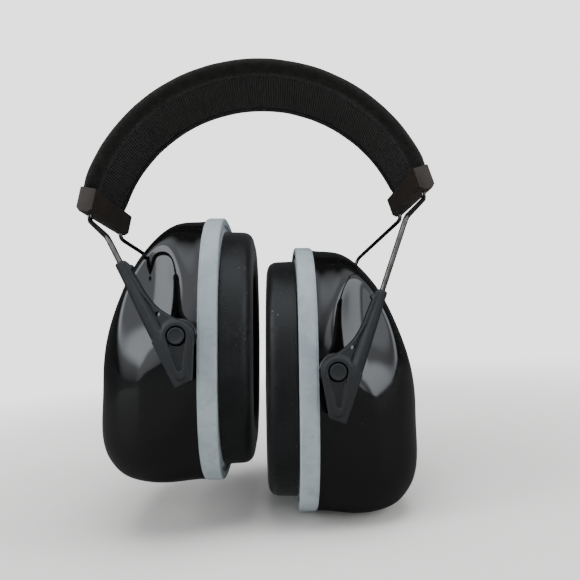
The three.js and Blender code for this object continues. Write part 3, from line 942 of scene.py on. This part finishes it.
def tube_mesh(radii):
    """An upright rod of (z, radius) points, where the wire's tube is."""
    path = np.array([(TUBE_X, 0, z) for z, _ in radii])
    up = np.array((0.0, 0.0, 1.0))
    grid = collar_grid(path, up, [radius for _, radius in radii], segments=40)
    return outward(grid_mesh(grid, Matrix.Identity(4)))


def arm_mesh():
    """One slide arm: the wire's tube, a thin web, a thick plate round the pin, and its raised rim."""
    inner_edge = catmull_rom(ARM_INNER_EDGE, 40)
    tube = tube_mesh([(ARM_BOTTOM, 1.6), (ARM_BOTTOM + 0.5, 2.1), (-8, TUBE_RADIUS), (8, TUBE_RADIUS),
                      (ARM_TOP - 4, TUBE_TOP_RADIUS), (ARM_TOP - 0.5, TUBE_TOP_RADIUS), (ARM_TOP, 1.7)])
    web = strip(inner_edge, TUBE_X - inner_edge[:, 0], WEB_HALF)
    rib = strip(inner_edge, np.maximum(1.0, ARM_GROOVE_X - inner_edge[:, 0]), EDGE_RIB_HALF)
    foot = [(2.3, ARM_BOTTOM), (8.2, ARM_BOTTOM), (TUBE_X + TUBE_RADIUS, -8), (TUBE_X + TUBE_RADIUS, 2)]
    plate = hull([circle_points(0, 0, BOSS_RADIUS), foot], -PLATE_HALF, PLATE_HALF)
    rim = hull([circle_points(0, 0, 5.0), circle_points(4.3, -12.6, 1.6)], -RIM_HALF, RIM_HALF)
    nub = hull([circle_points(TUBE_X - 2.6, ARM_TOP - 3.2, 0.9)], -NUB_HALF, NUB_HALF)
    pin_hole = circle_points(0, 0, PIN_RADIUS + PIN_CLEARANCE)
    recess = [pin_hole, circle_points(3.9, -10.6, 0.9)]
    cutters = [
        hull([pin_hole], -CUT_REACH, CUT_REACH),
        hull(recess, RECESS_FLOOR, CUT_REACH),
        hull(recess, -CUT_REACH, -RECESS_FLOOR),
        hull([circle_points(*ARM_EYE)], -CUT_REACH, CUT_REACH),
        tube_mesh([(ARM_TOP - BORE_DEPTH, BORE_RADIUS), (ARM_TOP + 2, BORE_RADIUS)]),
    ]
    cutter = linked("cutter", joined(cutters))
    body = joined([tube, web, rib, plate, rim, nub])
    whole = modified(body, ("REMESH", {"mode": "VOXEL", "voxel_size": 1.5 * ARM_VOXEL}))
    cut = {"object": cutter, "operation": "DIFFERENCE", "solver": "EXACT", "use_self": True}
    whole = modified(whole, ("BOOLEAN", cut), ("REMESH", {"mode": "VOXEL", "voxel_size": ARM_VOXEL}),
                     ("SMOOTH", {"factor": 0.5, "iterations": 3}))
    bpy.data.objects.remove(cutter)
    return whole


def slide_arm(side, end, shape):
    mesh = shape.copy()
    mesh.transform(side.arm_matrix(end))
    body = f"{end}_arm"
    riding_piece(side, f"{body}_moulding", mesh, "arm", body, f"slide_arm_{end}", sharp_degrees=180)


def pivot_pin(side, y_sign):
    """A turned pin with an eased rim and a shallow dished face."""
    face = PIN_FACE_Y
    profile = [(0, 39.5), (1.7, 39.5), (2.0, 39.8), (2.0, 45.4), (2.8, 45.4), (PIN_RADIUS, 45.6),
               (PIN_RADIUS, face - 0.45), (PIN_RADIUS - 0.08, face - 0.2), (PIN_RADIUS - 0.25, face - 0.04),
               (PIN_RADIUS - 0.45, face), (PIN_RADIUS - 0.6, face), (PIN_RADIUS - 0.75, face - 0.06),
               (1.4, face - 0.10), (0.5, face - 0.11), (0, face - 0.11)]
    grid = lathe_grid([(radius, y * y_sign) for radius, y in profile], segments=72)
    mesh = grid_mesh(grid, side.cup_matrix())
    end = side.end(y_sign)
    riding_piece(side, f"{end}_pin_turning", mesh, "pin", "cup", f"pivot_pin_{end}")


# ---------------------------------------------------------------- cups


def seat_ring(side):
    """The light ring that the shell and the cushion are both fixed to, with a groove round its face."""
    lip_x, ledge_x = RING_OUTER_X - 0.7, RING_INNER_X + 0.8
    corners = [(RING_OUTER_X, 0.3, 0.2), (lip_x, 0.3, 0.12), (lip_x, 0, 0.15), (RING_INNER_X + 0.45, 0, 0.12),
               (RING_INNER_X, 0.45, 0.15), (RING_INNER_X, 2.9, 0.2), (ledge_x, 3.1, 0.2), (ledge_x, 4.6, 0.2),
               (RING_INNER_X, 4.8, 0.2), (RING_INNER_X, RING_OPENING, 0.5), (RING_OUTER_X, RING_OPENING, 0.5)]
    profile = subdivided(rounded_outline(corners), 1.6)
    grid = oval_ring_grid(profile, RING_OVAL, segments=256)
    grid[..., 2] += RING_CENTRE_Z
    mesh = grid_mesh(grid, side.cup_matrix(), wrap_rows=True)
    riding_piece(side, "ring_moulding", mesh, "ring", "cup", "seat_ring")


def subdivided(outline, longest):
    """A closed outline with its long runs split, so that no step is longer than given."""
    result = []
    for start, end in zip(outline, np.roll(outline, -1, axis=0)):
        count = max(1, math.ceil(np.linalg.norm(end - start) / longest))
        result.extend(start + (end - start) * k / count for k in range(count))
    return np.array(result)


def smoothstep(value):
    value = np.clip(value, 0, 1)
    return value * value * (3 - 2 * value)


def soft_minimum(a, b, radius):
    return (a + b - np.sqrt((a - b) ** 2 + radius**2)) / 2


def front_limit(depth, z):
    """How far out the shell's flat front and back faces let it stand. Each face has an arched
    outline, and outside it the surface falls away to the rounder outer part of the shell."""
    above = np.maximum(z - ARCH_SPRING_Z, 0) / ARCH_HEIGHT
    beyond = FACET_DEPTH * (np.hypot(depth / FACET_DEPTH, above) - 1)
    slope_length = (beyond + np.sqrt(beyond**2 + CREASE_RADIUS**2)) / 2
    fall = FACET_FALL_LIMIT * (1 - np.exp(-FACET_FALL * slope_length / FACET_FALL_LIMIT))
    fade = smoothstep(depth / FACET_FADE_DEPTH)
    return FACET_Y - FACET_SLOPE * depth - fall * fade


def shell_grid(rows, columns, wall):
    """The shell's outside, or its inside at a wall thickness further in, from its rim to its pole."""
    def meridian(points):
        depth, reach = points[-2]
        return catmull_rom(points, rows, after=(depth, 2 * points[-1][1] - reach)).T[:, :, None]

    (top_depth, top), (bottom_depth, bottom) = meridian(SHELL_TOP), meridian(SHELL_BOTTOM)
    side_depth, side = meridian(SHELL_SIDE)
    fine = np.linspace(0, 2 * math.pi, columns, endpoint=False)[None]
    squaring = smoothstep(side_depth / SHELL_SQUARING_DEPTH)
    power = OVAL_POWER + (SHELL_SQUARE_POWER - OVAL_POWER) * squaring
    across, up = oval_term(np.sin(fine), power), oval_term(np.cos(fine), power)
    shrink = np.maximum(side - wall, 0) / np.maximum(side, 1e-6)
    middle, half = (top + bottom) / 2, np.maximum((top - bottom) / 2 - wall, 0)
    end_depth = np.where(up > 0, top_depth, bottom_depth)
    depth = side_depth + (end_depth - side_depth) * up**2
    depth = depth * (1 - wall / SHELL_SIDE[-1][0])
    y, z = side * shrink * across, middle + half * up
    limit = front_limit(depth, z) - wall
    y = np.sign(y) * np.maximum(soft_minimum(np.abs(y), limit, CREASE_RADIUS), 0)
    return np.stack([RING_OUTER_X + SHELL_GAP + depth, y, RING_CENTRE_Z + z], -1)


def cup_shell(side):
    outside = shell_grid(170, 384, 0)
    inside = shell_grid(90, 384, SHELL_WALL)
    parts = [grid_mesh(np.concatenate([outside[::-1], inside]), side.cup_matrix())]
    radius, face = PIVOT_PAD_RADIUS, PIVOT_PAD_Y
    pad = [(0, 40.5), (radius, 40.5), (radius, face - 0.5), (radius - 0.15, face - 0.15),
           (radius - 0.5, face), (0, face)]
    for y_sign in (-1, 1):
        grid = lathe_grid([(size, y * y_sign) for size, y in pad], segments=64)
        parts.append(outward(grid_mesh(grid, side.cup_matrix())))
    riding_piece(side, "shell_moulding", joined(parts), "shell", "cup", "cup_shell", sharp_degrees=50)


def inflated(mesh, pin_weights, cap):
    """The mesh after a short cloth simulation blows it up, with no point moved further than the cap."""
    holder = linked("holder", mesh.copy())
    scene = bpy.context.scene
    group = holder.vertex_groups.new(name="pinned")
    for index, weight in enumerate(pin_weights):
        if weight > 0:
            group.add([index], weight, "REPLACE")
    cloth = holder.modifiers.new("cloth", "CLOTH")
    cloth.settings.use_pressure = True
    cloth.settings.uniform_pressure_force = CLOTH_PRESSURE
    cloth.settings.vertex_group_mass = "pinned"
    cloth.settings.effector_weights.gravity = 0
    cloth.settings.tension_stiffness = cloth.settings.compression_stiffness = CLOTH_STIFFNESS
    cloth.settings.bending_stiffness = CLOTH_BENDING_STIFFNESS
    cloth.point_cache.frame_start = 1
    cloth.point_cache.frame_end = CLOTH_FRAMES
    for number in range(1, CLOTH_FRAMES + 1):
        scene.frame_set(number)
    graph = bpy.context.evaluated_depsgraph_get()
    result = bpy.data.meshes.new_from_object(holder.evaluated_get(graph))
    scene.frame_set(1)
    bpy.data.objects.remove(holder)
    before, after = coordinates(mesh), coordinates(result)
    moved = after - before
    length = np.linalg.norm(moved, axis=1)[:, None]
    moved *= np.minimum(1, cap / np.maximum(length, 1e-9))
    result.vertices.foreach_set("co", (before + moved).ravel())
    result.update()
    return result


def coordinates(mesh):
    values = np.zeros(len(mesh.vertices) * 3)
    mesh.vertices.foreach_get("co", values)
    return values.reshape(-1, 3)


def cushion(side):
    """The ear cushion: a soft skinned ring, blown up from a slightly smaller shape."""
    slack = CUSHION_SWELL
    back, face = RING_INNER_X - 0.25, CUSHION_FACE_X + slack
    corners = [(back, 0.8, 0.4), (face + 1.0, slack, 4.0), (face, CUSHION_BAND / 2, 4.0),
               (face + 1.0, CUSHION_BAND - slack, 4.2), (back, CUSHION_BAND - slack, 0.6)]
    profile = subdivided(rounded_outline(corners, steps=7), 1.1)
    grid = oval_ring_grid(profile, CUSHION_OVAL, segments=208)
    grid[..., 2] += RING_CENTRE_Z
    mesh = outward(grid_mesh(grid, side.cup_matrix(), wrap_rows=True))
    local_x = grid[..., 0].ravel()
    pinned = np.clip((local_x - (back - 1.4)) / 1.2, 0, 1)
    mesh = inflated(mesh, pinned, slack * MM)
    mesh = modified(mesh, ("SUBSURF", {"levels": 1, "render_levels": 1}))
    riding_piece(side, "cushion", mesh, "cushion", "cup", "cushion_cover", "cushion_foam", sharp_degrees=180)


def liner_foam(side):
    """A loose pad of sound-absorbing foam pressed into the shell, with a lumpy face."""
    inside = shell_grid(60, 160, SHELL_WALL + LINER_GAP)
    depth = inside[:, 0, 0] - RING_OUTER_X
    wall = inside[depth > LINER_FACE_DEPTH]
    rim = wall[0]
    centre = rim.mean(axis=0)
    rows = []
    for share in np.linspace(0, 1, 40):
        ring = centre + (rim - centre) * share
        dome = LINER_DOME * (1 - share**6)
        for point in ring:
            lump = LINER_LUMPS * noise.noise(Vector(point) / LINER_LUMP_SIZE)
            point[0] -= dome + lump * (1 - share**8)
        rows.append(ring)
    mesh = grid_mesh(np.concatenate([np.array(rows), wall[1:]]), side.cup_matrix())
    riding_piece(side, "liner", mesh, "foam", "cup", "liner_foam", sharp_degrees=180)


# ---------------------------------------------------------------- assembly


def build():
    arm_shape = arm_mesh()
    for side in SIDES:
        band_cover(side)
        comfort_pad(side)
        band_foam(side)
        for y_sign in (-1, 1):
            welt(side, y_sign)
            spring_wire(side, y_sign)
            pivot_pin(side, y_sign)
        end_cap(side)
        for end in ("front", "rear"):
            slide_arm(side, end, arm_shape)
        seat_ring(side)
        cushion(side)
        cup_shell(side)
        liner_foam(side)
        plate = frame["nodes"][f"{side.name}_cushion_plate"]
        plate.data.materials.clear()
        plate.data.materials.append(FINISHES["plate"].material)


build()


# ---------------------------------------------------------------- floor, light and camera

FLOOR_RADIUS = 8.0
CAMERA_OFFSET = (3.8, -200, -40.9)
CAMERA_TURN = math.radians(-2.08)
CAMERA_TILT = math.radians(4.96)
CAMERA_ROLL = math.radians(-4.4)
LENS = 27.1
SENSOR = 36
LIGHT_TARGET = (0, 0, 0.09)
BACKDROP = rgb(243, 243, 242)
BACKDROP_STRENGTH = 2.6
FADE_END = 0.7
ROOM_LIGHT = 0.42
ROOM_GLOW = 0.06

# Panels that only glossy surfaces see: direction, half angle in degrees and strength.
REFLECTED_PANELS = [
    ((-0.55, -0.6, 0.6), 38, 1.6),
    ((0.55, -0.6, 0.6), 34, 1.3),
    ((-0.8, -0.45, 0.35), 12, 3.0),
    ((0.8, -0.55, 0.15), 10, 3.0),
    ((0.5, -0.86, 0.06), 8, 1.2),
]

# Softboxes: name, place, size and power.
SOFTBOXES = [
    ("overhead", (0.05, -0.25, 1.1), (0.9, 0.7), 14),
    ("left_softbox", (-0.9, -0.35, 0.45), (0.35, 0.8), 8),
    ("right_softbox", (0.9, -0.3, 0.45), (0.3, 0.8), 6),
    ("front_fill", (0.15, -1.2, 0.7), (0.6, 0.4), 4),
]


def floor_material():
    """Pale near the object, fading into the backdrop's own colour, and dark in glossy reflections."""
    finish = Finish("floor")
    cloud = finish.noise(0.004, 3.0)
    pale = finish.mix(cloud, rgb(230, 229, 227), rgb(238, 237, 235))
    finish.set(Base_Color=finish.mix(finish.seen_by("Glossy"), pale, rgb(70, 70, 70)), Roughness=0.7)
    place = finish.node("ShaderNodeNewGeometry", {}, "Position")
    distance = finish.node("ShaderNodeVectorMath", {0: place}, "Value", operation="LENGTH")
    fade = finish.times(finish.ramp(distance, 0.0, FADE_END), finish.seen_by("Camera"))
    backdrop = finish.node("ShaderNodeEmission", {"Color": BACKDROP, "Strength": BACKDROP_STRENGTH})
    surface = finish.node("ShaderNodeMixShader", {0: fade, 1: finish.shader.outputs[0], 2: backdrop})
    output = next(node for node in finish.tree.nodes if node.type == "OUTPUT_MATERIAL")
    finish.feed(output.inputs["Surface"], surface)
    return finish.material


def floor():
    mesh = bpy.data.meshes.new("floor")
    disc = bmesh.new()
    bmesh.ops.create_circle(disc, cap_ends=True, segments=96, radius=FLOOR_RADIUS)
    disc.to_mesh(mesh)
    disc.free()
    mesh.materials.append(floor_material())
    made = linked("floor", mesh)
    made.location = (0, 0, cad_bounds[0][2] - 0.0005)


def world_light():
    """The backdrop to the camera, an even dim light to the rest, and soft panels in a dark room to the
    glossy surfaces, which don't see the softboxes."""
    world = bpy.data.worlds.new("studio")
    world.use_nodes = True
    world.node_tree.nodes.clear()
    nodes = Nodes(world.node_tree)

    def background(colour, strength):
        return nodes.node("ShaderNodeBackground", {"Color": colour, "Strength": strength})

    def either(ray, otherwise, when):
        return nodes.node("ShaderNodeMixShader", {0: nodes.seen_by(ray), 1: otherwise, 2: when})

    direction = nodes.node("ShaderNodeTexCoord", {}, "Generated")
    glow = ROOM_GLOW
    for place, half_angle, strength in REFLECTED_PANELS:
        facing = nodes.dot(direction, Vector(place).normalized())
        near, far = (math.cos(math.radians(half_angle * share)) for share in (0.7, 1.3))
        glow = nodes.plus(glow, nodes.ramp(facing, far, near, to_high=strength))
    room = background(rgb(225, 230, 236), glow)
    light = either("Glossy", background(rgb(196, 198, 200), ROOM_LIGHT), room)
    surface = either("Camera", light, background(BACKDROP, BACKDROP_STRENGTH))
    output = world.node_tree.nodes.new("ShaderNodeOutputWorld")
    nodes.feed(output.inputs["Surface"], surface)
    bpy.context.scene.world = world


def softbox(name, place, size, power):
    light = bpy.data.lights.new(name, "AREA")
    light.shape = "RECTANGLE"
    light.size, light.size_y = size
    light.energy = power
    made = linked(name, light)
    made.location = place
    made.rotation_euler = (Vector(LIGHT_TARGET) - Vector(place)).to_track_quat("-Z", "Y").to_euler()
    made.visible_glossy = False


def camera():
    data = bpy.data.cameras.new("camera")
    data.lens, data.sensor_width = LENS, SENSOR
    data.clip_start = 0.01
    made = linked("camera", data)
    turn = Matrix.Rotation(CAMERA_TURN, 4, "Z") @ Matrix.Rotation(math.pi / 2 + CAMERA_TILT, 4, "X")
    place = arc_centre() + Vector(CAMERA_OFFSET) * MM
    made.matrix_world = Matrix.Translation(place) @ turn @ Matrix.Rotation(CAMERA_ROLL, 4, "Z")
    bpy.context.scene.camera = made


floor()
world_light()
for box in SOFTBOXES:
    softbox(*box)
camera()
